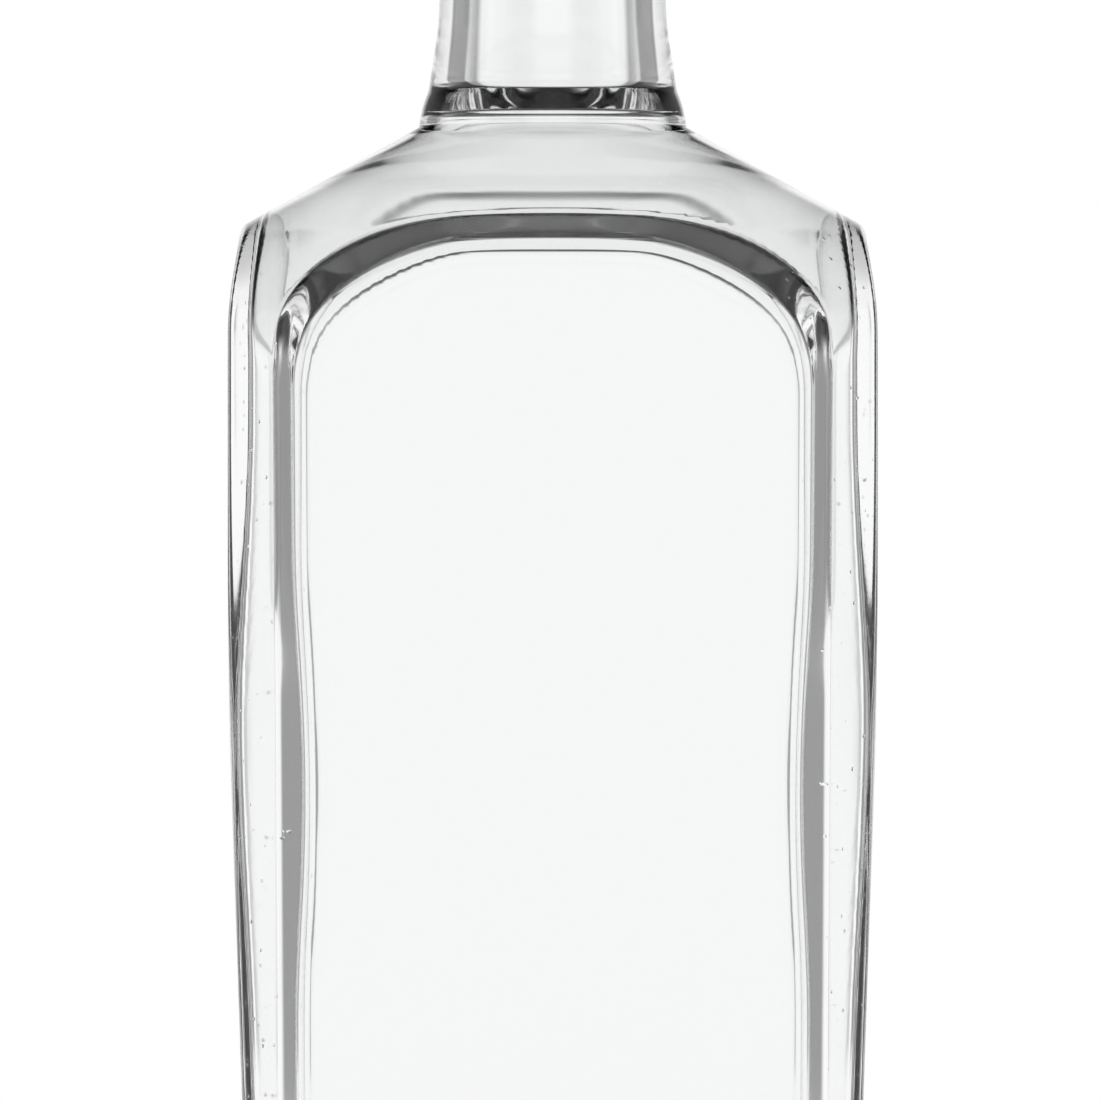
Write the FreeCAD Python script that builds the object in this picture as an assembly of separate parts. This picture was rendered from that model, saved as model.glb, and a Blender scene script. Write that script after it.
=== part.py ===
"""Gin bottle: one piece of clear blown glass, empty and open at the mouth.

The bottle stands on its base with +Z up and its broad panels facing -Y and +Y. The origin is at
the middle of the base. The body is a slightly tapered block with a flat arched panel on each broad
side, four bevels beside the panels and a sloping shoulder that turns from the block to a round
collar. A gently conical neck rises from the collar to a plain rounded lip.

All lengths are in millimetres and all angles in degrees.
"""

import FreeCAD
import Part
import math
import os

# Heights above the surface that the bottle stands on
BOTTLE_HEIGHT = 245.0
PANEL_TOP = 161.2        # crown of the arched panel
SHOULDER_EDGE = 160.0    # where the shoulder meets the sides
SHOULDER_TOP = 173.8     # where the shoulder meets the collar
SIDE_KINK_LOW = 97.0     # below this the sides taper towards the base
SIDE_KINK_HIGH = 148.0   # above this they lean in towards the shoulder
LIP_HEIGHT = 9.0         # height of the plain ring round the mouth
COLLAR_HEIGHT = 5.1      # height of the flared band under the neck

# Outside sizes of the body
BODY_WIDTH = 90.0        # between the sides, where the body is widest
BODY_DEPTH = 65.0        # between the panels at the shoulder
BASE_DEPTH = 62.4        # between the panels at the base
SIDE_TAPER = 0.034       # how far each side comes in for each millimetre down
SIDE_LEAN = 0.138        # how far each side comes in for each millimetre up, over the high kink
SIDE_SOFTNESS = 0.6      # blend at both kinks of the side
PANEL_INSET_TOP = 6.9    # from the widest part of the side in to the panel's edge, at the shoulder
PANEL_INSET_BASE = 7.8   # and at the base
BEVEL_ANGLE = 45.0       # between a panel and a bevel
HEEL_RADIUS = 5.0        # round the foot

# Shoulder
ROUND_POWER = 2.0        # exponent of the section at the collar, which is an ellipse
SQUARE_POWER = 2.9       # largest exponent further down, where it is nearly a rectangle
POWER_GAIN = 0.061       # how fast the exponent grows for each millimetre of drop
ARCH_SOFTNESS = 18.0     # blend between shoulder and bevel, which rounds the arch's corners

# Neck
COLLAR_DIAMETER = 37.5   # foot of the collar
COLLAR_STRAIGHT = 0.8    # height of the collar's upright foot
SHELF_DIAMETER = 36.3    # where the collar turns in to the neck
SHELF_HEIGHT = 3.3       # of that turn over the collar's foot
NECK_DIAMETER_LOW = 34.8     # just over the collar
NECK_DIAMETER_HIGH = 28.6    # just under the lip
NECK_FLARE_HEIGHT = 9.0      # over which the neck's foot flares out
NECK_DIAMETER_FLARE = 32.0   # at the top of that flare
LIP_DIAMETER = 30.4
LIP_RADIUS = 1.2         # rounding of the lip's edges
BORE_DIAMETER_MOUTH = 21.0
BORE_DIAMETER_NECK = 23.4    # at the top of the neck's flare
THROAT_DIAMETER = 24.4       # where the bore starts to open into the collar
THROAT_HEIGHT = 5.2          # of that place over the collar's foot
ROOT_DIAMETER = 32.6         # inside the collar
LEDGE_HEIGHT = 1.5           # from the collar's foot up to the slope from the root to the throat

# Glass thickness
PANEL_WALL = 3.0
SIDE_WALL_LOW = 3.5      # in the lower half
SIDE_WALL_HIGH = 5.0     # under the shoulder
THICKENING_LOW = 89.0    # height where the side's glass starts to thicken
THICKENING_HIGH = 134.0  # and where it has its full thickness
SHOULDER_WALL = 4.9      # towards the panels
SHOULDER_SIDE_WALL = 2.2     # towards the sides
INNER_SHOULDER_LEAN = -0.2   # slope of the inner shoulder towards the panels, less the outer one's
INNER_CROWN_DEPTH = 3.8      # from the panel's crown down to where the full shoulder wall is
INNER_BEVEL_ANGLE = 56.5     # between a panel and the inside of a bevel
INNER_EDGE_INSET = 2.4       # from the panel's edge in to the inner edge of its glass
INNER_EDGE_SWELL = 1.2       # added to that inset where the glass swells
SWELL_HEIGHT = 82.0          # middle of the swelling
SWELL_REACH = 33.0           # how far above and below its middle it runs out
INNER_SQUARE_POWER = 3.7     # largest exponent of the inner shoulder's section
BASE_THICKNESS = 8.0     # middle of the base
INNER_HEEL_RADIUS = 9.0
PUNT_DEPTH = 2.0         # hollow under the base
BEARING_WIDTH = 4.0      # flat ring that the bottle stands on
PUNT_RUN = 6.0           # width of the hollow's sloping edge
INNER_PANEL_SOFTNESS = 2.5   # blend between the inside of a bevel and of a panel
INNER_ARCH_SOFTNESS = 24.5   # between the inside of the shoulder and of a bevel
INNER_SIDE_SOFTNESS = 3.0    # between the inside of a bevel and of a side

# How finely the blended surfaces are worked out
QUARTER_STEPS = 24       # points along each quarter of a section
CORE_STEP = 9.0          # between sections, where the body runs straight
ARCH_STEP = 2.0          # and round the arch and shoulder
ARCH_REACH = 44.0        # how far below its crown the arch starts
SIDE_STEP = 3.0          # between the points of a side's curve
HEEL_STEPS = 6           # sections round the inner heel
NEAR_NOUGHT = 1e-9       # smallest share of a direction, so that no reach is endless
FLAT_TOLERANCE = 1e-3    # edges this close to the ground belong to the foot

# How solids that are joined or cut overlap
OVERSIZE = 6.0           # how far a cutter stands past what it cuts
CAP_SOFTNESS = 6.0       # blend of the body's core where the slabs cut it away
CORE_OVERLAP = 1.2       # how far the shoulder runs up inside the collar
CAVITY_GAP = 0.8         # from the collar's foot down to the top of the cavity's loft
NECK_PLUG = 6.0          # how far the neck runs down inside the shoulder
PUNT_DROP = 1.0          # how far the punt's cutter starts below the ground

# Roundings of turned outlines, as radii
COLLAR_ROUNDING = 13.0
NECK_ROUNDING = 40.0
BORE_ROUNDING = 8.0
THROAT_ROUNDING = 2.4
LEDGE_ROUNDING = 1.8

# Worked out from the sizes above
BEVEL_SINE = math.sin(math.radians(BEVEL_ANGLE))
BEVEL_COSINE = math.cos(math.radians(BEVEL_ANGLE))
INNER_SINE = math.sin(math.radians(INNER_BEVEL_ANGLE))
INNER_COSINE = math.cos(math.radians(INNER_BEVEL_ANGLE))
COLLAR_RADIUS = COLLAR_DIAMETER / 2
FLARE_TOP = SHOULDER_TOP + COLLAR_HEIGHT + NECK_FLARE_HEIGHT


def soft_min(a, b, blend):
    """The smaller of two lengths, eased over the stretch where they differ by less than blend."""
    overlap = max(blend - abs(a - b), 0.0) / blend
    return min(a, b) - overlap * overlap * blend / 4


def swell(z):
    """A smooth bump in height, one at the middle of the glass's swelling and nought past its reach."""
    away = min(abs(z - SWELL_HEIGHT) / SWELL_REACH, 1.0)
    return (1 - away * away) ** 2


def shares(angle):
    """How far across and along one millimetre in a direction goes, both kept off nought."""
    return max(abs(math.cos(angle)), NEAR_NOUGHT), max(abs(math.sin(angle)), NEAR_NOUGHT)


def side_half_width(z):
    """Distance from the axis to the side face at a height."""
    half = BODY_WIDTH / 2
    low = half - SIDE_TAPER * (SIDE_KINK_LOW - z)
    high = half - SIDE_LEAN * (z - SIDE_KINK_HIGH)
    return soft_min(soft_min(low, half, SIDE_SOFTNESS), high, SIDE_SOFTNESS)


def side_wall(z):
    """Thickness of a side's glass at a height, easing from the lower to the upper thickness."""
    share = (z - THICKENING_LOW) / (THICKENING_HIGH - THICKENING_LOW)
    share = min(max(share, 0.0), 1.0)
    return SIDE_WALL_LOW + (SIDE_WALL_HIGH - SIDE_WALL_LOW) * share * share * (3 - 2 * share)


def panel_half_depth(z):
    """Distance from the axis to the panel's plane at a height."""
    return (BASE_DEPTH + (BODY_DEPTH - BASE_DEPTH) * z / PANEL_TOP) / 2


def panel_half_width(z):
    """Half the panel's width at a height, before the arch closes it."""
    inset = PANEL_INSET_BASE + (PANEL_INSET_TOP - PANEL_INSET_BASE) * z / PANEL_TOP
    return BODY_WIDTH / 2 - inset


def bevel_reach(angle, z):
    """Distance from the axis to the bevel's plane in a direction."""
    across, along = shares(angle)
    offset = panel_half_width(z) * BEVEL_SINE + panel_half_depth(z) * BEVEL_COSINE
    return offset / (across * BEVEL_SINE + along * BEVEL_COSINE)


def inner_bevel_reach(angle, z):
    """Distance to the plane inside a bevel, which passes through the inner edge of the panel's glass."""
    across, along = shares(angle)
    edge = panel_half_width(z) - INNER_EDGE_INSET - INNER_EDGE_SWELL * swell(z)
    offset = edge * INNER_SINE + (panel_half_depth(z) - PANEL_WALL) * INNER_COSINE
    return offset / (across * INNER_SINE + along * INNER_COSINE)


def squarish_reach(angle, wide, deep, power):
    """Distance to a section between an ellipse and a rectangle, from its half sizes and exponent."""
    across, along = shares(angle)
    return ((across / wide) ** power + (along / deep) ** power) ** (-1 / power)


def shoulder_power(drop, largest):
    """Exponent of the shoulder's section at a drop below the collar."""
    return min(max(ROUND_POWER + drop * POWER_GAIN, ROUND_POWER), largest)


def shoulder_slopes():
    """How far the shoulder goes out for each millimetre down, towards a side and towards a panel."""
    wide = (side_half_width(SHOULDER_EDGE) - COLLAR_RADIUS) / (SHOULDER_TOP - SHOULDER_EDGE)
    deep = (panel_half_depth(PANEL_TOP) - COLLAR_RADIUS) / (SHOULDER_TOP - PANEL_TOP)
    return wide, deep


def shoulder_reach(angle, z):
    """Distance to the shoulder, a cone whose section turns from round to squarish as it drops."""
    drop = SHOULDER_TOP - z
    wide_slope, deep_slope = shoulder_slopes()
    wide = COLLAR_RADIUS + drop * wide_slope
    deep = COLLAR_RADIUS + drop * deep_slope
    return squarish_reach(angle, wide, deep, shoulder_power(drop, SQUARE_POWER))


def inner_shoulder_reach(angle, z):
    """Distance to the inside of the shoulder, set in square to its slopes by its two walls."""
    drop = SHOULDER_TOP - z
    wide_slope, deep_slope = shoulder_slopes()
    wide = COLLAR_RADIUS + drop * wide_slope - SHOULDER_SIDE_WALL * math.hypot(1, wide_slope)
    deep = COLLAR_RADIUS + drop * deep_slope - SHOULDER_WALL * math.hypot(1, deep_slope)
    deep += INNER_SHOULDER_LEAN * (PANEL_TOP - INNER_CROWN_DEPTH - z)
    return squarish_reach(angle, wide, deep, shoulder_power(drop, INNER_SQUARE_POWER))


def core_reach(angle, z):
    """Distance to the blended bevels and shoulder, capped a little outside the panels and sides."""
    across, along = shares(angle)
    reach = soft_min(bevel_reach(angle, z), shoulder_reach(angle, z), ARCH_SOFTNESS)
    reach = soft_min(reach, (BODY_WIDTH / 2 + OVERSIZE) / across, CAP_SOFTNESS)
    return soft_min(reach, (BODY_DEPTH / 2 + OVERSIZE) / along, CAP_SOFTNESS)


def cavity_reach(angle, z):
    """Distance to the inside of the glass below the neck."""
    across, along = shares(angle)
    reach = soft_min(inner_bevel_reach(angle, z), inner_shoulder_reach(angle, z), INNER_ARCH_SOFTNESS)
    reach = soft_min(reach, (side_half_width(z) - side_wall(z)) / across, INNER_SIDE_SOFTNESS)
    return soft_min(reach, (panel_half_depth(z) - PANEL_WALL) / along, INNER_PANEL_SOFTNESS)


def foot_reach(angle, z):
    """Distance to the outside of the body where the bottle stands, with eased corners."""
    across, along = shares(angle)
    reach = soft_min(bevel_reach(angle, z), side_half_width(z) / across, INNER_SIDE_SOFTNESS)
    return soft_min(reach, panel_half_depth(z) / along, INNER_PANEL_SOFTNESS)


def section(z, reach, inset=0.0):
    """A closed horizontal outline at z, in four quarters, at the distance reach(angle, z) - inset."""
    quarters = []
    for quarter in range(4):
        first = math.pi / 2 * quarter
        angles = [first + math.pi / 2 * i / QUARTER_STEPS for i in range(QUARTER_STEPS + 1)]
        points = []
        for angle in angles:
            r = reach(angle, z) - inset
            points.append(FreeCAD.Vector(r * math.cos(angle), r * math.sin(angle), z))
        curve = Part.BSplineCurve()
        curve.interpolate(
            Points=points,
            Parameters=angles,
            InitialTangent=FreeCAD.Vector(-math.sin(first), math.cos(first), 0),
            FinalTangent=FreeCAD.Vector(-math.cos(first), -math.sin(first), 0),
        )
        quarters.append(curve.toShape())
    return Part.Wire(quarters)


def corner_arc(before, here, after, radius):
    """Start, middle and end of the arc that rounds the corner at here by a radius."""
    to_before = (before - here).normalize()
    to_after = (after - here).normalize()
    inward = (to_before + to_after).normalize()
    half = to_before.getAngle(to_after) / 2
    cut = radius / math.tan(half)
    middle = here + inward * (radius / math.sin(half) - radius)
    return here + to_before * cut, middle, here + to_after * cut


def rounded_outline(corners):
    """A closed wire through (across, up, radius) corners in the XZ plane, each rounded by its radius."""
    points = [FreeCAD.Vector(x, 0, z) for x, z, radius in corners]
    arcs = []
    for i, (x, z, radius) in enumerate(corners):
        arcs.append(corner_arc(points[i - 1], points[i], points[(i + 1) % len(points)], radius))
    edges = []
    for i, (x, z, radius) in enumerate(corners):
        start, middle, stop = arcs[i]
        if radius > 0:
            edges.append(Part.Arc(start, middle, stop).toShape())
        edges.append(Part.makeLine(stop, arcs[(i + 1) % len(arcs)][0]))
    return Part.Wire(edges)


def turned(corners):
    """A solid of revolution about the bottle's axis from (radius, up, rounding) corners."""
    face = Part.Face(rounded_outline(corners))
    return face.revolve(FreeCAD.Vector(0, 0, 0), FreeCAD.Vector(0, 0, 1), 360)


def spaced(low, high, step):
    """Evenly spaced values from low to high, at most step apart."""
    count = max(math.ceil((high - low) / step), 1)
    return [low + (high - low) * i / count for i in range(count + 1)]


def panel_slab():
    """Everything between the two panels' planes, as a solid that tapers towards the base."""
    top = BOTTLE_HEIGHT
    low, high = panel_half_depth(-OVERSIZE), panel_half_depth(top)
    corners = [(-low, -OVERSIZE), (low, -OVERSIZE), (high, top), (-high, top)]
    half = BODY_WIDTH
    points = [FreeCAD.Vector(-half, y, z) for y, z in corners]
    face = Part.Face(Part.makePolygon(points + points[:1]))
    return face.extrude(FreeCAD.Vector(2 * half, 0, 0))


def side_slab():
    """Everything between the two side faces, from under the base to over the shoulder."""
    heights = spaced(0.0, SHOULDER_TOP + OVERSIZE, SIDE_STEP)
    right = [FreeCAD.Vector(side_half_width(z), -BODY_DEPTH, z) for z in heights]
    left = [FreeCAD.Vector(-point.x, point.y, point.z) for point in reversed(right)]
    right_curve = Part.BSplineCurve()
    right_curve.interpolate(right)
    left_curve = Part.BSplineCurve()
    left_curve.interpolate(left)
    edges = [
        right_curve.toShape(),
        Part.makeLine(right[-1], left[0]),
        left_curve.toShape(),
        Part.makeLine(left[-1], right[0]),
    ]
    return Part.Face(Part.Wire(edges)).extrude(FreeCAD.Vector(0, 2 * BODY_DEPTH, 0))


def body():
    """The outside of the body and shoulder, as a solid with rounded foot."""
    straight_top = PANEL_TOP - ARCH_REACH
    heights = spaced(-OVERSIZE, straight_top, CORE_STEP)
    heights += spaced(straight_top, SHOULDER_TOP + CORE_OVERLAP, ARCH_STEP)[1:]
    core = Part.makeLoft([section(z, core_reach) for z in heights], True, False)
    solid = core.common(side_slab()).common(panel_slab())
    foot = [edge for edge in solid.Edges if edge.BoundBox.ZMax < FLAT_TOLERANCE]
    return solid.makeFillet(HEEL_RADIUS, foot)


def neck():
    """The outside of the collar, neck and lip, with a plug below it that ends inside the shoulder."""
    lip_low = BOTTLE_HEIGHT - LIP_HEIGHT
    return turned([
        (0, SHOULDER_TOP - NECK_PLUG, 0),
        (COLLAR_RADIUS, SHOULDER_TOP - NECK_PLUG, 0),
        (COLLAR_RADIUS, SHOULDER_TOP + COLLAR_STRAIGHT, 0),
        (SHELF_DIAMETER / 2, SHOULDER_TOP + SHELF_HEIGHT, COLLAR_ROUNDING),
        (NECK_DIAMETER_LOW / 2, SHOULDER_TOP + COLLAR_HEIGHT, 0),
        (NECK_DIAMETER_FLARE / 2, FLARE_TOP, NECK_ROUNDING),
        (NECK_DIAMETER_HIGH / 2, lip_low, 0),
        (LIP_DIAMETER / 2, lip_low + LIP_RADIUS, LIP_RADIUS),
        (LIP_DIAMETER / 2, BOTTLE_HEIGHT, LIP_RADIUS),
        (0, BOTTLE_HEIGHT, 0),
    ])


def cavity():
    """The free space inside the body and shoulder."""
    floor = BASE_THICKNESS
    wires = []
    for i in range(HEEL_STEPS):
        turn = math.pi / 2 * i / HEEL_STEPS
        rise = INNER_HEEL_RADIUS * (1 - math.cos(turn))
        inset = INNER_HEEL_RADIUS * (1 - math.sin(turn))
        wires.append(section(floor + rise, cavity_reach, inset))
    straight_top = PANEL_TOP - ARCH_REACH
    heights = spaced(floor + INNER_HEEL_RADIUS, straight_top, CORE_STEP)
    heights += spaced(straight_top, SHOULDER_TOP - CAVITY_GAP, ARCH_STEP)[1:]
    wires += [section(z, cavity_reach) for z in heights]
    return Part.makeLoft(wires, True, False)


def bore():
    """The free space inside the neck, from the cavity out through the mouth."""
    return turned([
        (0, SHOULDER_TOP - NECK_PLUG, 0),
        (ROOT_DIAMETER / 2, SHOULDER_TOP - NECK_PLUG, 0),
        (ROOT_DIAMETER / 2, SHOULDER_TOP + LEDGE_HEIGHT, LEDGE_ROUNDING),
        (THROAT_DIAMETER / 2, SHOULDER_TOP + THROAT_HEIGHT, THROAT_ROUNDING),
        (BORE_DIAMETER_NECK / 2, FLARE_TOP, BORE_ROUNDING),
        (BORE_DIAMETER_MOUTH / 2, BOTTLE_HEIGHT - LIP_HEIGHT, 0),
        (BORE_DIAMETER_MOUTH / 2, BOTTLE_HEIGHT + OVERSIZE, 0),
        (0, BOTTLE_HEIGHT + OVERSIZE, 0),
    ])


def punt():
    """The shallow hollow under the base, inside the ring that the bottle stands on."""
    rim = HEEL_RADIUS + BEARING_WIDTH
    wide = section(0.0, foot_reach, rim - PUNT_RUN * PUNT_DROP / PUNT_DEPTH)
    wide.translate(FreeCAD.Vector(0, 0, -PUNT_DROP))
    narrow = section(0.0, foot_reach, rim + PUNT_RUN)
    narrow.translate(FreeCAD.Vector(0, 0, PUNT_DEPTH))
    return Part.makeLoft([wide, narrow], True, True)


def main():
    """Build the bottle and write it as one solid."""
    os.makedirs("parts", exist_ok=True)
    outside = body().fuse(neck())
    inside = cavity().fuse(bore())
    bottle = outside.cut(inside).cut(punt()).removeSplitter()
    solid = bottle.Solids[0]
    solid.exportStep("parts/glass_bottle.step")
    box = solid.optimalBoundingBox(True, False)
    print("solids", len(bottle.Solids), "valid", solid.isValid(), "glass cm3", solid.Volume / 1000)
    print("size", box.XLength, box.YLength, box.ZLength)
    print("capacity ml", inside.common(panel_slab()).Volume / 1000)


main()
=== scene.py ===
"""Gin bottle of clear colourless glass, standing empty and open on a pale studio floor.

The bottle is one closed surface. It runs from the middle of the hollow under the base, round the
foot, up the tapered block with its two flat arched panels, over the sloping shoulder, the collar,
the neck and the lip, and back down the bore to the floor inside. Its sizes are in millimetres in
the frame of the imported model, +Z up, and become metres when the mesh is made.
"""

import logging
import math
from dataclasses import dataclass, field
from enum import Enum

import bpy
import numpy as np
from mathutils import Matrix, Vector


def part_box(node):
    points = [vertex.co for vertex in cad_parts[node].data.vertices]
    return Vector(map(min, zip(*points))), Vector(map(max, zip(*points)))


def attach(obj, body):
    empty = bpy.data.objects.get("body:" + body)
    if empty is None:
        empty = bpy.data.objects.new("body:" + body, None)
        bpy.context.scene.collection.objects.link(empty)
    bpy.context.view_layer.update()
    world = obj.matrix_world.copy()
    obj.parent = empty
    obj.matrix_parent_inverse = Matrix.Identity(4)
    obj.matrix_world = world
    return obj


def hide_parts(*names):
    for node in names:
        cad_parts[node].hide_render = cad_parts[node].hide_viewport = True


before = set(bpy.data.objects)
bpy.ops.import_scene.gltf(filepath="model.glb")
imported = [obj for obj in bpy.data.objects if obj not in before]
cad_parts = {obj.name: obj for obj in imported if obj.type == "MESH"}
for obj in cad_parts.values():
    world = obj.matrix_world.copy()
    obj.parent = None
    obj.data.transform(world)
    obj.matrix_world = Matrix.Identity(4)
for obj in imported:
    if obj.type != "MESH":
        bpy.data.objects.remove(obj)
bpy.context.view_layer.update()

MM = 0.001
NEAR_NOUGHT = 1e-9
WHITE = (1.0, 1.0, 1.0, 1.0)
NODE = "glass_bottle"

log = logging.getLogger("gin_bottle")


class Face(Enum):
    """The pair of flat faces of the body that a slope or a wall belongs to."""

    SIDE = "side"
    PANEL = "panel"


# ---------------------------------------------------------------------------------------------
# Shapes as functions
# ---------------------------------------------------------------------------------------------


def soft_min(a: np.ndarray, b: np.ndarray, blend: float) -> np.ndarray:
    """The smaller of two lengths, eased where they are nearly equal.

    Formula: min(a, b) less a parabola of the overlap, which is one where the two are equal and
    nought where they differ by blend.

    Args:
        a: first lengths.
        b: second lengths, of a shape that broadcasts with a.
        blend: difference over which the two are eased together.

    Returns:
        The eased lengths.
    """
    overlap = np.maximum(blend - np.abs(a - b), 0.0) / blend
    return np.minimum(a, b) - overlap * overlap * blend / 4


def swell(values: np.ndarray, centre: float, reach: float) -> np.ndarray:
    """A smooth bump: (1 - t^2)^2 with t the distance from centre over reach, nought past reach."""
    t = np.clip(np.abs(values - centre) / reach, 0.0, 1.0)
    return (1 - t * t) ** 2


def rounded_profile(corners: np.ndarray, cut: np.ndarray, steps: int, same: float = 1e-6) -> np.ndarray:
    """A polyline through (radius, height) corners with each corner replaced by a smooth bend.

    Formula: at each corner the bend is the quadratic curve from a point cut before it to a point
    cut after it, with the corner as its control point. A corner with no cut gives one point.

    Args:
        corners: (n, 2) corner points in order.
        cut: (n,) how far from each corner its bend starts and stops.
        steps: spans of each bend.
        same: points nearer than this count as one.

    Returns:
        (m, 2) points in order, with no two neighbours the same.
    """
    before = np.roll(corners, 1, axis=0)
    after = np.roll(corners, -1, axis=0)
    back = before - corners
    ahead = after - corners
    back /= np.linalg.norm(back, axis=1, keepdims=True)
    ahead /= np.linalg.norm(ahead, axis=1, keepdims=True)
    start = (corners + back * cut[:, None])[:, None, :]
    stop = (corners + ahead * cut[:, None])[:, None, :]
    t = np.linspace(0.0, 1.0, steps + 1)[None, :, None]
    bends = (1 - t) ** 2 * start + 2 * t * (1 - t) * corners[:, None, :] + t * t * stop
    points = bends.reshape(-1, 2)
    moved = np.linalg.norm(np.diff(points, axis=0), axis=1) > same
    return points[np.concatenate([[True], moved])]


def densified(points: np.ndarray, step: float) -> np.ndarray:
    """The same polyline with points added so that none are further apart than step.

    Formula: each point's place is linear in the length run along the polyline. The lengths are
    the old ones, with evenly spaced ones where those stand over a third of a step from any old one.

    Args:
        points: (n, 2) points in order.
        step: largest gap between the evenly spaced points.

    Returns:
        (m, 2) points in order, the old ones among them.
    """
    run = np.concatenate([[0.0], np.cumsum(np.linalg.norm(np.diff(points, axis=0), axis=1))])
    even = np.linspace(0.0, run[-1], int(math.ceil(run[-1] / step)) + 1)
    gap = np.abs(even[:, None] - run[None, :]).min(axis=1)
    lengths = np.sort(np.concatenate([run, even[gap > step / 3]]))
    return np.stack([np.interp(lengths, run, points[:, k]) for k in range(2)], axis=1)


@dataclass(frozen=True)
class Bunching:
    """How values crowd together round a centre.

    Formula: the density is 1 + gain * exp(-((v - centre) / width)^2), and the values are where its
    running sum reaches equal shares.
    """

    centre: float
    width: float
    gain: float
    samples: int = 4001

    def spread(self, low: float, high: float, count: int) -> np.ndarray:
        """Rising values from low to high, closest together at the centre.

        Args:
            low: first value.
            high: last value.
            count: number of spans.

        Returns:
            (count + 1,) values.
        """
        fine = np.linspace(low, high, self.samples)
        density = 1 + self.gain * np.exp(-(((fine - self.centre) / self.width) ** 2))
        total = np.concatenate([[0.0], np.cumsum((density[1:] + density[:-1]) / 2)])
        return np.interp(np.linspace(0.0, total[-1], count + 1), total, fine)


def linked_mesh(name: str, points: np.ndarray, faces: list[list[int]]) -> bpy.types.Object:
    """A mesh object of its own at the origin, from points and faces.

    Args:
        name: name of the object and its mesh.
        points: (n, 3) points in metres.
        faces: each face's point numbers, counter-clockwise from outside.

    Returns:
        The object, linked to the scene.
    """
    mesh = bpy.data.meshes.new(name)
    mesh.from_pydata(points.tolist(), [], faces)
    mesh.update()
    made = bpy.data.objects.new(name, mesh)
    bpy.context.scene.collection.objects.link(made)
    return made


def closed_shell(name: str, rings: np.ndarray, poles: tuple[np.ndarray, np.ndarray]) -> bpy.types.Object:
    """A closed mesh of stacked rings with a point at each end.

    Args:
        name: name of the object and its mesh.
        rings: (rows, columns, 3) points in metres; each row goes round counter-clockwise.
        poles: the (3,) points that close the first row and the last.

    Returns:
        The object, linked to the scene, smooth, with faces outwards for rows that rise outside.
    """
    rows, columns, _ = rings.shape
    here = np.arange(columns)
    following = np.roll(here, -1)
    low = np.arange(rows - 1)[:, None] * columns
    quads = np.stack([low + here, low + following, low + columns + following, low + columns + here], axis=-1)
    first, last = rows * columns, rows * columns + 1
    top = (rows - 1) * columns
    bottom_fan = np.stack([np.full(columns, first), following, here], axis=-1)
    top_fan = np.stack([np.full(columns, last), top + here, top + following], axis=-1)
    points = np.concatenate([rings.reshape(-1, 3), np.stack(poles)])
    shell = linked_mesh(name, points, quads.reshape(-1, 4).tolist() + bottom_fan.tolist() + top_fan.tolist())
    shell.data.polygons.foreach_set("use_smooth", np.ones(len(shell.data.polygons), dtype=bool))
    return shell


# ---------------------------------------------------------------------------------------------
# Node graphs
# ---------------------------------------------------------------------------------------------


@dataclass
class NodePad:
    """A node tree being drawn, with short calls for the nodes that the finishes use."""

    tree: bpy.types.NodeTree

    def add(self, kind: str, values: dict | None = None, settings: dict | None = None) -> bpy.types.Node:
        """Add a node and fill it in.

        Args:
            kind: Blender's name of the node's type.
            values: input name or number to a plain value or to a socket that feeds it.
            settings: node attribute to value.

        Returns:
            The node.
        """
        node = self.tree.nodes.new(kind)
        for key, value in (settings or {}).items():
            setattr(node, key, value)
        for key, value in (values or {}).items():
            if isinstance(value, bpy.types.NodeSocket):
                self.tree.links.new(value, node.inputs[key])
            else:
                node.inputs[key].default_value = value
        return node

    def math(self, operation: str, a: object, b: object = 0.0) -> bpy.types.NodeSocket:
        """The result of a Math node on two numbers or sockets."""
        return self.add("ShaderNodeMath", {0: a, 1: b}, {"operation": operation}).outputs[0]

    def step(self, value: object, low: float, high: float, start: float, stop: float) -> bpy.types.NodeSocket:
        """A smooth step of value from start at low to stop at high.

        Args:
            value: number or socket that is stepped.
            low: value where the step begins.
            high: value where the step ends.
            start: result up to low.
            stop: result from high on.

        Returns:
            The socket that holds the result.
        """
        inputs = {"Value": value, "From Min": low, "From Max": high, "To Min": start, "To Max": stop}
        node = self.add("ShaderNodeMapRange", inputs, {"interpolation_type": "SMOOTHSTEP"})
        return node.outputs["Result"]


def new_material(name: str) -> tuple[bpy.types.Material, NodePad]:
    """Make an empty node material.

    Args:
        name: name of the material.

    Returns:
        The material and the pad to draw it on.
    """
    material = bpy.data.materials.new(name)
    material.use_nodes = True
    material.node_tree.nodes.clear()
    return material, NodePad(material.node_tree)


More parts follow.
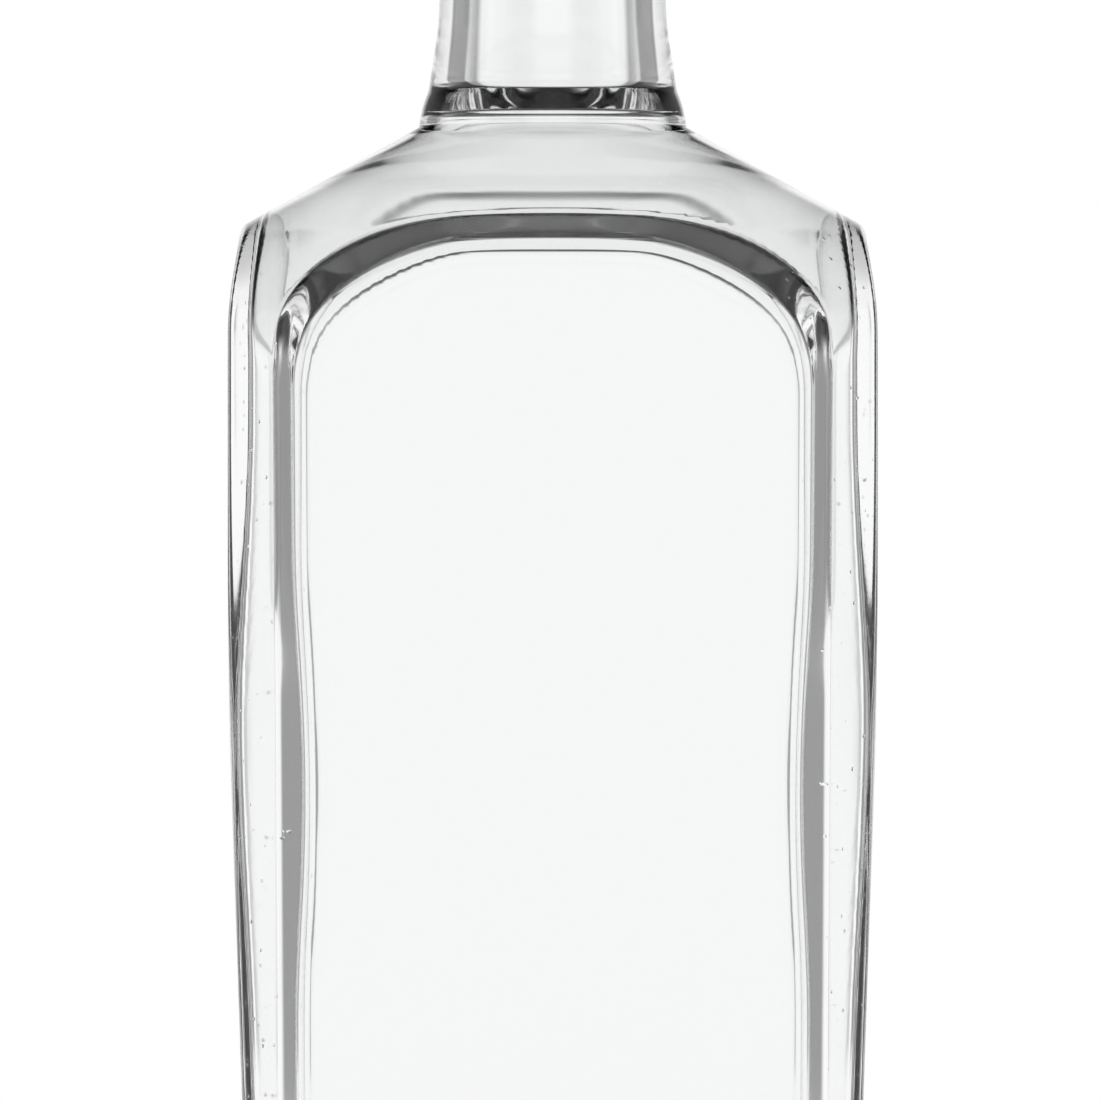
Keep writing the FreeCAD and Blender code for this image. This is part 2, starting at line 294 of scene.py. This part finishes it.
@dataclass(frozen=True)
class ClearGlass:
    """Fire-polished colourless flint glass: faint waves, a few seeds and a trace of grey."""

    tint: tuple[float, float, float, float] = (0.960, 0.963, 0.965, 1.0)
    refraction: float = 1.5
    roughness: float = 0.04
    wave_size: float = 0.022
    wave_stretch: float = 0.45
    wave_detail: float = 1.0
    wave_roughness: float = 0.4
    wave_depth: float = 0.00003
    seed_spacing: float = 0.003
    seed_radius: float = 0.1
    seed_share: float = 0.8
    seed_depth: float = 0.00014
    seeded_from: float = 0.036
    seeded_fully: float = 0.039

    def waves(self, pad: NodePad, place: bpy.types.NodeSocket) -> bpy.types.NodeSocket:
        """Draw the slow waves that blowing leaves, longer up the bottle than across.

        Args:
            pad: pad of the glass.
            place: socket of the point on the piece.

        Returns:
            The socket of the waves' height in metres.
        """
        stretched = pad.add("ShaderNodeMapping", {"Vector": place, "Scale": (1.0, 1.0, self.wave_stretch)})
        noise = pad.add("ShaderNodeTexNoise", {
            "Vector": stretched.outputs[0],
            "Scale": 1 / self.wave_size,
            "Detail": self.wave_detail,
            "Roughness": self.wave_roughness,
        })
        return pad.math("MULTIPLY", noise.outputs["Fac"], self.wave_depth)

    def seeds(self, pad: NodePad, place: bpy.types.NodeSocket) -> bpy.types.NodeSocket:
        """Draw the small round seeds, which gather in the thick glass by the narrow sides.

        Args:
            pad: pad of the glass.
            place: socket of the point on the piece.

        Returns:
            The socket of the seeds' depth in metres.
        """
        cells = pad.add("ShaderNodeTexVoronoi", {"Vector": place, "Scale": 1 / self.seed_spacing})
        chance = pad.add("ShaderNodeSeparateXYZ", {0: cells.outputs["Color"]}).outputs[0]
        across = pad.add("ShaderNodeSeparateXYZ", {0: place}).outputs[0]
        chosen = pad.math("LESS_THAN", chance, self.seed_share)
        thick = pad.step(pad.math("ABSOLUTE", across), self.seeded_from, self.seeded_fully, 0.0, 1.0)
        dimple = pad.step(cells.outputs["Distance"], 0.0, self.seed_radius, self.seed_depth, 0.0)
        return pad.math("MULTIPLY", dimple, pad.math("MULTIPLY", chosen, thick))

    def build(self) -> bpy.types.Material:
        """Draw the glass: a clear dielectric with a bump from slow waves and small round seeds.

        Returns:
            The material.
        """
        material, pad = new_material("clear_flint_glass")
        place = pad.add("ShaderNodeTexCoord").outputs["Object"]
        height = pad.math("SUBTRACT", self.waves(pad, place), self.seeds(pad, place))
        relief = pad.add("ShaderNodeBump", {"Height": height, "Distance": 1.0}).outputs[0]
        shader = pad.add("ShaderNodeBsdfPrincipled", {
            "Base Color": self.tint,
            "Roughness": self.roughness,
            "IOR": self.refraction,
            "Transmission Weight": 1.0,
            "Normal": relief,
        })
        pad.add("ShaderNodeOutputMaterial", {"Surface": shader.outputs[0]})
        return material


# ---------------------------------------------------------------------------------------------
# The bottle
# ---------------------------------------------------------------------------------------------


@dataclass(frozen=True)
class BodyForm:
    """The block and the shoulder: planes and a squarish cone, as reach from the axis by direction."""

    width: float
    depth: float
    panel_top: float = 161.2
    shoulder_edge: float = 160.0
    shoulder_top: float = 173.8
    side_kink_low: float = 97.0
    side_kink_high: float = 148.0
    base_depth_loss: float = 2.6
    side_taper: float = 0.034
    side_lean: float = 0.138
    side_softness: float = 0.6
    inset_top: float = 6.9
    inset_base: float = 7.8
    round_power: float = 2.0
    square_power: float = 2.9
    inner_square_power: float = 3.7
    power_gain: float = 0.061
    arch_softness: float = 18.0
    panel_edge_softness: float = 0.35
    side_edge_softness: float = 0.8
    collar_radius: float = 18.75
    panel_wall: float = 3.0
    inner_bevel_angle: float = 56.5
    edge_inset: float = 2.4
    edge_swell: float = 1.2
    swell_height: float = 82.0
    swell_reach: float = 33.0
    side_wall_high: float = 5.0
    side_wall_low: float = 3.5
    thickening_low: float = 89.0
    thickening_high: float = 134.0
    shoulder_wall: float = 4.9
    shoulder_side_wall: float = 2.2
    inner_lean: float = -0.2
    crown_drop: float = 16.4
    least_half: float = 1.0
    inner_panel_softness: float = 1.2
    inner_arch_softness: float = 24.5
    inner_side_softness: float = 0.5

    def side(self, z: np.ndarray) -> np.ndarray:
        """Half the width at a height: straight, tapering below the low kink, leaning in above.

        Formula: the eased least of three straight lines in the height.

        Args:
            z: heights.

        Returns:
            The half widths.
        """
        half = self.width / 2
        low = half - self.side_taper * (self.side_kink_low - z)
        high = half - self.side_lean * (z - self.side_kink_high)
        return soft_min(soft_min(low, half, self.side_softness), high, self.side_softness)

    def panel(self, z: np.ndarray) -> np.ndarray:
        """Half the depth between the panels at a height, growing evenly from the base."""
        return (self.depth - self.base_depth_loss * (1 - z / self.panel_top)) / 2

    def panel_half_width(self, z: np.ndarray) -> np.ndarray:
        """Half the panel's width at a height, before the arch closes it."""
        inset = self.inset_base + (self.inset_top - self.inset_base) * z / self.panel_top
        return self.width / 2 - inset

    def side_wall(self, z: np.ndarray) -> np.ndarray:
        """Thickness of a side's glass at a height.

        Formula: low + (high - low) * (3 t^2 - 2 t^3), with t the share of the stretch that is
        below the height.

        Args:
            z: heights.

        Returns:
            The thicknesses.
        """
        share = np.clip((z - self.thickening_low) / (self.thickening_high - self.thickening_low), 0.0, 1.0)
        gain = self.side_wall_high - self.side_wall_low
        return self.side_wall_low + gain * share * share * (3 - 2 * share)

    def bevel(self, across: np.ndarray, along: np.ndarray, z: np.ndarray, wall: float) -> np.ndarray:
        """Reach to the plane at 45 degrees through the panel's edge, set in by wall."""
        offset = (self.panel_half_width(z) + self.panel(z)) * math.sqrt(0.5) - wall
        return offset / ((across + along) * math.sqrt(0.5))

    def inner_bevel(self, across: np.ndarray, along: np.ndarray, z: np.ndarray, inset: float) -> np.ndarray:
        """Reach to the inside of the bevel, a plane through the inner edge of the panel's glass.

        Formula: the plane's normal stands at the inner bevel's angle to the panel's, and the plane
        passes edge_inset inside the panel's edge at the panel's inner face, and further inside
        where the glass swells.

        Args:
            across: how far across a unit in the direction goes.
            along: how far along a unit in the direction goes.
            z: heights.
            inset: how far further in the plane stands.

        Returns:
            The reach from the axis.
        """
        sine = math.sin(math.radians(self.inner_bevel_angle))
        cosine = math.cos(math.radians(self.inner_bevel_angle))
        swelling = self.edge_swell * swell(z, self.swell_height, self.swell_reach)
        edge = self.panel_half_width(z) - self.edge_inset - swelling
        offset = edge * sine + (self.panel(z) - self.panel_wall) * cosine - inset
        return offset / (across * sine + along * cosine)

    def shoulder_slope(self, face: Face) -> float:
        """How far the shoulder goes out towards a face for each millimetre that it drops.

        Args:
            face: face that the slope runs down to.

        Returns:
            The run over the drop.
        """
        if face is Face.SIDE:
            run = self.side(np.array(self.shoulder_edge)) - self.collar_radius
            return float(run / (self.shoulder_top - self.shoulder_edge))
        run = self.panel(np.array(self.panel_top)) - self.collar_radius
        return float(run / (self.shoulder_top - self.panel_top))

    def shoulder_half(self, face: Face, z: np.ndarray, wall: float) -> np.ndarray:
        """Half size of the shoulder towards a face at a height, set in by wall square to its slope."""
        slope = self.shoulder_slope(face)
        return self.collar_radius + (self.shoulder_top - z) * slope - wall * math.hypot(1, slope)

    def squarish(self, share: tuple[np.ndarray, np.ndarray], half: tuple[np.ndarray, np.ndarray],
                 z: np.ndarray, largest: float) -> np.ndarray:
        """Reach to a section of the shoulder, which turns from round to squarish as it drops.

        Formula: (|across / wide|^p + |along / deep|^p)^(-1/p), with p growing with the drop.

        Args:
            share: how far across and along a unit in the direction goes.
            half: half sizes of the section, across and along.
            z: heights.
            largest: largest exponent.

        Returns:
            The reach from the axis.
        """
        drop = self.shoulder_top - z
        power = np.clip(self.round_power + drop * self.power_gain, self.round_power, largest)
        wide, deep = (np.maximum(size, self.least_half) for size in half)
        return ((share[0] / wide) ** power + (share[1] / deep) ** power) ** (-1 / power)

    def shares(self, angle: np.ndarray) -> tuple[np.ndarray, np.ndarray]:
        """How far across and along a unit in a direction goes, both kept off nought."""
        return np.abs(np.cos(angle)) + NEAR_NOUGHT, np.abs(np.sin(angle)) + NEAR_NOUGHT

    def outside(self, angle: np.ndarray, z: np.ndarray, wall: float = 0.0) -> np.ndarray:
        """Reach to the outside of the body, set in by wall, in a direction at a height.

        Formula: the eased least of the reaches to bevel, shoulder, side and panel.

        Args:
            angle: directions, in radians from +X.
            z: heights, of a shape that broadcasts with angle.
            wall: how far inside the surface, square to each plane.

        Returns:
            The reach from the axis.
        """
        across, along = self.shares(angle)
        half = self.shoulder_half(Face.SIDE, z, wall), self.shoulder_half(Face.PANEL, z, wall)
        shoulder = self.squarish((across, along), half, z, self.square_power)
        reach = soft_min(self.bevel(across, along, z, wall), shoulder, self.arch_softness)
        reach = soft_min(reach, (self.side(z) - wall) / across, self.side_edge_softness)
        return soft_min(reach, (self.panel(z) - wall) / along, self.panel_edge_softness)

    def inside(self, angle: np.ndarray, z: np.ndarray, inset: float = 0.0) -> np.ndarray:
        """Reach to the inside of the glass below the neck, less inset.

        Formula: the eased least of the reaches to the insides of bevel, shoulder, side and panel.
        The shoulder's inside leans towards the panels, about the height of the inner crown.

        Args:
            angle: directions, in radians from +X.
            z: heights, of a shape that broadcasts with angle.
            inset: how far further in, square to each plane.

        Returns:
            The reach from the axis.
        """
        across, along = self.shares(angle)
        wide = self.shoulder_half(Face.SIDE, z, self.shoulder_side_wall + inset)
        deep = self.shoulder_half(Face.PANEL, z, self.shoulder_wall + inset)
        deep = deep + self.inner_lean * (self.shoulder_top - z - self.crown_drop)
        shoulder = self.squarish((across, along), (wide, deep), z, self.inner_square_power)
        reach = soft_min(self.inner_bevel(across, along, z, inset), shoulder, self.inner_arch_softness)
        reach = soft_min(reach, (self.side(z) - self.side_wall(z) - inset) / across, self.inner_side_softness)
        return soft_min(reach, (self.panel(z) - self.panel_wall - inset) / along, self.inner_panel_softness)


@dataclass(frozen=True)
class NeckForm:
    """Collar, neck, lip and bore: profiles carried round the axis."""

    height: float
    foot: float = 173.8
    collar_height: float = 5.1
    flare_height: float = 9.0
    lip_height: float = 9.0
    collar_radius: float = 18.75
    low_radius: float = 17.4
    flare_radius: float = 16.0
    high_radius: float = 14.3
    lip_radius: float = 15.2
    lip_rounding: float = 1.2
    shelf_radius: float = 18.15
    shelf_height: float = 3.3
    mouth_radius: float = 10.5
    bore_radius: float = 11.7
    throat_radius: float = 12.2
    throat_height: float = 5.2
    root_radius: float = 16.3
    ledge_height: float = 1.5
    shelf_bend: float = 1.4
    collar_bend: float = 0.3
    flare_bend: float = 2.5
    lip_foot_bend: float = 0.5
    lip_low_bend: float = 0.7
    lip_top_bend: float = 1.2
    mouth_bend: float = 0.8
    bore_bend: float = 3.0
    throat_bend: float = 1.0
    ledge_bend: float = 0.8
    start: float = 0.2
    bend_steps: int = 8
    step: float = 2.4

    def outside(self) -> np.ndarray:
        """The outside from just over the shoulder up to the lip's flat top.

        Returns:
            (n, 2) radius and height.
        """
        lip_low = self.height - self.lip_height
        corners = np.array([
            (self.collar_radius, self.foot + self.start),
            (self.shelf_radius, self.foot + self.shelf_height),
            (self.low_radius, self.foot + self.collar_height),
            (self.flare_radius, self.foot + self.collar_height + self.flare_height),
            (self.high_radius, lip_low),
            (self.lip_radius, lip_low + self.lip_rounding),
            (self.lip_radius, self.height),
            (self.mouth_radius, self.height),
        ])
        lip_bends = [self.lip_foot_bend, self.lip_low_bend, self.lip_top_bend]
        cut = np.array([0.0, self.shelf_bend, self.collar_bend, self.flare_bend, *lip_bends, 0.0])
        return densified(rounded_profile(corners, cut, self.bend_steps), self.step)

    def bore(self) -> np.ndarray:
        """The inside from the mouth's edge down to the root of the bore.

        Returns:
            (n, 2) radius and height.
        """
        corners = np.array([
            (self.mouth_radius, self.height),
            (self.mouth_radius, self.height - self.lip_height),
            (self.bore_radius, self.foot + self.collar_height + self.flare_height),
            (self.throat_radius, self.foot + self.throat_height),
            (self.root_radius, self.foot + self.ledge_height),
            (self.root_radius, self.foot),
        ])
        root_bends = [self.throat_bend, self.ledge_bend]
        cut = np.array([self.mouth_bend, self.bore_bend, self.bore_bend, *root_bends, 0.0])
        return densified(rounded_profile(corners, cut, self.bend_steps)[1:], self.step)


@dataclass
class GlassBottle:
    """The bottle: one closed glass surface, its finish and its place in the frame."""

    low: np.ndarray
    high: np.ndarray
    glass: ClearGlass = field(default_factory=ClearGlass)
    columns: Bunching = Bunching(centre=0.6, width=0.18, gain=3.5)
    outer_bunching: Bunching = Bunching(centre=158.0, width=12.0, gain=4.0)
    inner_bunching: Bunching = Bunching(centre=154.0, width=12.0, gain=4.0)
    quarter_columns: int = 60
    outer_spans: int = 118
    inner_spans: int = 100
    heel_spans: int = 13
    hollow_spans: int = 6
    hollow_flat: float = 12.0
    floor_flat: float = 10.0
    heel: float = 5.0
    inner_heel: float = 9.0
    base: float = 8.0
    punt: float = 2.0
    bearing: float = 4.0
    punt_run: float = 6.0
    root_softness: float = 1.0

    def __post_init__(self) -> None:
        """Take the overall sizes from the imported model's box."""
        width, depth, height = (self.high - self.low) / MM
        self.body = BodyForm(width=width, depth=depth)
        self.neck = NeckForm(height=height)

    def angles(self) -> np.ndarray:
        """Directions round the axis, closest together where the bevels' edges run.

        Returns:
            (columns,) angles in radians from +X, rising.
        """
        quarter = self.columns.spread(0.0, math.pi / 2, self.quarter_columns)
        mirrored = math.pi - quarter[::-1]
        half = np.concatenate([quarter[:-1], mirrored[:-1]])
        return np.concatenate([half, half + math.pi])

    def foot_rows(self, angle: np.ndarray) -> tuple[np.ndarray, np.ndarray]:
        """Reach and height of the rows under the base: hollow, bearing ring and heel.

        Formula: the hollow's slope and the ring are straight, and the heel is a quarter circle
        whose inset from the body is radius * (1 - sin) at a height of radius * (1 - cos).

        Args:
            angle: (columns,) directions, in radians from +X.

        Returns:
            (rows, columns) reach and (rows, columns) height.
        """
        rim = self.heel + self.bearing
        share = np.linspace(0.0, 1.0, self.hollow_spans + 1)
        eased = share * share * (3 - 2 * share)
        turn = np.linspace(0.0, math.pi / 2, self.heel_spans + 1)[1:]
        inset = np.concatenate([
            [rim + self.punt_run + self.hollow_flat],
            rim + self.punt_run * (1 - share),
            [rim - self.bearing / 2],
            [self.heel],
            self.heel * (1 - np.sin(turn)),
        ])
        height = np.concatenate([
            [self.punt],
            self.punt * (1 - eased),
            [0.0],
            [0.0],
            self.heel * (1 - np.cos(turn)),
        ])
        reach = np.stack([self.body.outside(angle, np.full_like(angle, h), s) for s, h in zip(inset, height)])
        return reach, np.broadcast_to(height[:, None], reach.shape)

    def outer_rows(self, angle: np.ndarray) -> tuple[np.ndarray, np.ndarray]:
        """Reach and height of the rows up the outside of the block and the shoulder.

        Args:
            angle: (columns,) directions, in radians from +X.

        Returns:
            (rows, columns) reach and (rows, columns) height.
        """
        arch = self.outer_bunching.spread(self.heel, self.body.shoulder_top, self.outer_spans)[1:]
        z = np.broadcast_to(arch[:, None], (len(arch), len(angle)))
        return self.body.outside(angle[None, :], z), z

    def inner_rows(self, angle: np.ndarray) -> tuple[np.ndarray, np.ndarray]:
        """Reach and height of the rows from the bore's root down to the inner heel.

        Formula: where the cavity's reach is less than the bore's, the bore's is taken, eased.

        Args:
            angle: (columns,) directions, in radians from +X.

        Returns:
            (rows, columns) reach and (rows, columns) height.
        """
        top = self.body.shoulder_top - self.neck.start
        arch = self.inner_bunching.spread(self.base + self.inner_heel, top, self.inner_spans)[::-1]
        z = np.broadcast_to(arch[:, None], (len(arch), len(angle)))
        bore = np.full_like(z, self.neck.root_radius)
        cavity = self.body.inside(angle[None, :], z)
        return -soft_min(-cavity, -bore, self.root_softness), z

    def floor_rows(self, angle: np.ndarray) -> tuple[np.ndarray, np.ndarray]:
        """Reach and height of the rows round the inner heel on to the floor inside.

        Formula: the inner heel is a quarter circle, as on the outside, and the floor is flat.

        Args:
            angle: (columns,) directions, in radians from +X.

        Returns:
            (rows, columns) reach and (rows, columns) height.
        """
        turn = np.linspace(math.pi / 2, 0.0, self.heel_spans + 1)[1:]
        inset = np.concatenate([self.inner_heel * (1 - np.sin(turn)), [self.inner_heel + self.floor_flat]])
        height = self.base + np.concatenate([self.inner_heel * (1 - np.cos(turn)), [0.0]])
        start = np.full_like(angle, self.base + self.inner_heel)
        reach = np.stack([self.body.inside(angle, start, s) for s in inset])
        return reach, np.broadcast_to(height[:, None], reach.shape)

    def build(self) -> bpy.types.Object:
        """Make the bottle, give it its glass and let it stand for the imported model's node.

        Returns:
            The finished piece.
        """
        angle = self.angles()
        outside = self.neck.outside()
        bore = self.neck.bore()
        all_round = np.ones_like(angle)
        parts = [
            self.foot_rows(angle),
            self.outer_rows(angle),
            (outside[:, :1] * all_round, outside[:, 1:] * all_round),
            (bore[:, :1] * all_round, bore[:, 1:] * all_round),
            self.inner_rows(angle),
            self.floor_rows(angle),
        ]
        reach = np.concatenate([part[0] for part in parts])
        z = np.concatenate([part[1] for part in parts])
        middle = (self.low + self.high) / 2
        rings = np.stack([
            reach * np.cos(angle) * MM + middle[0],
            reach * np.sin(angle) * MM + middle[1],
            z * MM + self.low[2],
        ], axis=-1)
        under = np.array([middle[0], middle[1], self.low[2] + self.punt * MM])
        floor = np.array([middle[0], middle[1], self.low[2] + self.base * MM])
        piece = closed_shell("bottle", rings, (under, floor))
        piece.data.materials.append(self.glass.build())
        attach(piece, "root")
        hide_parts(NODE)
        return piece


# ---------------------------------------------------------------------------------------------
# The studio
# ---------------------------------------------------------------------------------------------


@dataclass(frozen=True)
class PaleFloor:
    """Matt pale paint that runs out to plain white towards the floor's edge."""

    colour: tuple[float, float, float, float] = (0.8, 0.8, 0.8, 1.0)
    fade_start: float = 0.3
    fade_end: float = 0.85
    roughness: float = 0.9

    def build(self) -> bpy.types.Material:
        """Draw the paint, mixed by distance with the white that the eye, gloss and glass see.

        Returns:
            The material.
        """
        material, pad = new_material("pale_floor")
        place = pad.add("ShaderNodeTexCoord").outputs["Object"]
        flat = pad.add("ShaderNodeMapping", {"Vector": place, "Scale": (1.0, 1.0, 0.0)}).outputs[0]
        distance = pad.add("ShaderNodeVectorMath", {0: flat}, {"operation": "LENGTH"}).outputs["Value"]
        faded = pad.step(distance, self.fade_start, self.fade_end, 0.0, 1.0)
        rays = pad.add("ShaderNodeLightPath").outputs
        direct = pad.math("MAXIMUM", rays["Is Camera Ray"], rays["Is Glossy Ray"])
        seen = pad.math("MAXIMUM", direct, rays["Is Transmission Ray"])
        paint = pad.add("ShaderNodeBsdfPrincipled", {"Base Color": self.colour, "Roughness": self.roughness})
        paint.inputs["Specular IOR Level"].default_value = 0.0
        white = pad.add("ShaderNodeEmission", {"Color": WHITE, "Strength": 1.0})
        share = pad.math("MULTIPLY", faded, seen)
        mix = pad.add("ShaderNodeMixShader", {0: share, 1: paint.outputs[0], 2: white.outputs[0]})
        pad.add("ShaderNodeOutputMaterial", {"Surface": mix.outputs[0]})
        return material


@dataclass(frozen=True)
class StudioAir:
    """Light from all round: white where the eye looks past the bottle, with dark cards for glass."""

    ambient: float = 0.68
    card_near: float = 18.6
    card_full: float = 26.6
    card_end: float = 58.0
    card_gone: float = 66.0
    card_tone: float = 0.29
    roof_near: float = 13.0
    roof_full: float = 25.0
    roof_tone: float = 0.03

    def build(self) -> bpy.types.World:
        """Draw the world: one tone for matt paint, white for the eye, the cards for glass.

        Returns:
            The world.
        """
        world = bpy.data.worlds.new("studio_air")
        world.use_nodes = True
        world.cycles.sampling_method = "NONE"
        world.node_tree.nodes.clear()
        pad = NodePad(world.node_tree)
        look = pad.add("ShaderNodeTexCoord").outputs["Generated"]
        axes = pad.add("ShaderNodeSeparateXYZ", {0: look}).outputs
        height = pad.math("ARCSINE", axes[2])
        turn = pad.math("ARCTAN2", pad.math("ABSOLUTE", axes[0]), pad.math("ABSOLUTE", axes[1]))
        near = pad.step(turn, math.radians(self.card_near), math.radians(self.card_full), 0.0, 1.0)
        far = pad.step(turn, math.radians(self.card_end), math.radians(self.card_gone), 1.0, 0.0)
        card = pad.math("MULTIPLY", near, far)
        side = pad.math("SUBTRACT", 1.0, pad.math("MULTIPLY", card, 1 - self.card_tone))
        roof_from, roof_to = math.radians(self.roof_near), math.radians(self.roof_full)
        tone = pad.math("MULTIPLY", side, pad.step(height, roof_from, roof_to, 1.0, self.roof_tone))
        rays = pad.add("ShaderNodeLightPath").outputs
        clear = pad.math("MAXIMUM", rays["Is Glossy Ray"], rays["Is Transmission Ray"])
        matt = pad.math("SUBTRACT", 1.0, pad.math("MAXIMUM", clear, rays["Is Camera Ray"]))
        strength = pad.math("ADD", rays["Is Camera Ray"], pad.math("MULTIPLY", clear, tone))
        strength = pad.math("ADD", strength, pad.math("MULTIPLY", matt, self.ambient))
        sky = pad.add("ShaderNodeBackground", {"Color": WHITE, "Strength": strength})
        pad.add("ShaderNodeOutputWorld", {"Surface": sky.outputs[0]})
        return world


@dataclass(frozen=True)
class SoftLamp:
    """One square soft lamp: its name, where it hangs, the length of its side and its power."""

    name: str
    place: tuple[float, float, float]
    size: float
    watts: float

    def hang(self, target: np.ndarray) -> None:
        """Hang the lamp so that it faces a target; glass and gloss don't show it.

        Args:
            target: (3,) point that it faces, in metres.
        """
        light = bpy.data.lights.new(self.name, "AREA")
        light.size = self.size
        light.energy = self.watts
        lamp = bpy.data.objects.new(self.name, light)
        away = np.array(self.place) - target
        flat = math.hypot(away[0], away[1])
        lamp.location = self.place
        lamp.rotation_euler = (math.atan2(flat, away[2]), 0.0, math.atan2(away[0], -away[1]))
        lamp.visible_glossy = False
        lamp.visible_transmission = False
        bpy.context.scene.collection.objects.link(lamp)


@dataclass
class Studio:
    """Floor, lamps, air and camera round the bottle."""

    low: np.ndarray
    high: np.ndarray
    floor_radius: float = 1.1
    floor_gap: float = 0.0002
    floor_columns: int = 96
    floor_rings: int = 20
    floor_middle: float = 0.05
    lamps: tuple[SoftLamp, ...] = (
        SoftLamp("lamp_left", place=(-0.9, -0.9, 1.1), size=0.9, watts=5.0),
        SoftLamp("lamp_right", place=(0.9, -0.7, 1.2), size=0.9, watts=4.0),
    )
    bounces: int = 16
    glossy_bounces: int = 12
    camera_distance: float = 2.0
    view_span: float = 0.15158
    view_side: float = -0.00038
    view_height: float = 0.11465
    sensor: float = 36.0

    def lay_floor(self) -> None:
        """Lay a round floor just under the foot.

        Formula: a polar grid (r cos t, r sin t) at one level, with a fan of triangles in its middle.
        """
        turn = np.linspace(0.0, 2 * math.pi, self.floor_columns, endpoint=False)
        radius = np.linspace(self.floor_middle, 1.0, self.floor_rings)[:, None] * self.floor_radius
        level = np.full((self.floor_rings, self.floor_columns), self.low[2] - self.floor_gap)
        rings = np.stack([radius * np.cos(turn), radius * np.sin(turn), level], axis=-1)
        centre = np.array([[0.0, 0.0, self.low[2] - self.floor_gap]])
        here = np.arange(self.floor_columns)
        following = np.roll(here, -1)
        start = np.arange(self.floor_rings - 1)[:, None] * self.floor_columns
        outer = start + self.floor_columns
        quads = np.stack([start + here, outer + here, outer + following, start + following], axis=-1)
        middle = np.full(self.floor_columns, self.floor_rings * self.floor_columns)
        fan = np.stack([middle, here, following], axis=-1)
        points = np.concatenate([rings.reshape(-1, 3), centre])
        floor = linked_mesh("floor", points, quads.reshape(-1, 4).tolist() + fan.tolist())
        floor.data.materials.append(PaleFloor().build())

    def set_camera(self) -> None:
        """A long lens level with the body's upper half, square to the broad panel."""
        data = bpy.data.cameras.new("camera")
        camera = bpy.data.objects.new("camera", data)
        bpy.context.scene.collection.objects.link(camera)
        data.sensor_width = self.sensor
        near_face = self.camera_distance - (self.high[1] - self.low[1]) / 2
        data.lens = self.sensor * near_face / self.view_span
        camera.location = (self.view_side, -self.camera_distance, self.low[2] + self.view_height)
        camera.rotation_euler = (math.pi / 2, 0.0, 0.0)
        bpy.context.scene.camera = camera

    def build(self) -> None:
        """Set up everything that isn't the bottle."""
        self.lay_floor()
        for lamp in self.lamps:
            lamp.hang((self.low + self.high) / 2)
        scene = bpy.context.scene
        scene.world = StudioAir().build()
        scene.view_settings.view_transform = "Standard"
        scene.cycles.max_bounces = self.bounces
        scene.cycles.transmission_bounces = self.bounces
        scene.cycles.glossy_bounces = self.glossy_bounces
        self.set_camera()


def main() -> None:
    """Build the bottle and the studio in order and report each piece."""
    logging.basicConfig(level=logging.INFO, format="%(name)s: %(message)s")
    low, high = (np.array(corner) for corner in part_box(NODE))
    bottle = GlassBottle(low, high).build()
    log.info("%s has %d faces", bottle.name, len(bottle.data.polygons))
    Studio(low, high).build()
    log.info("studio is set")


if __name__ == "__main__":
    main()
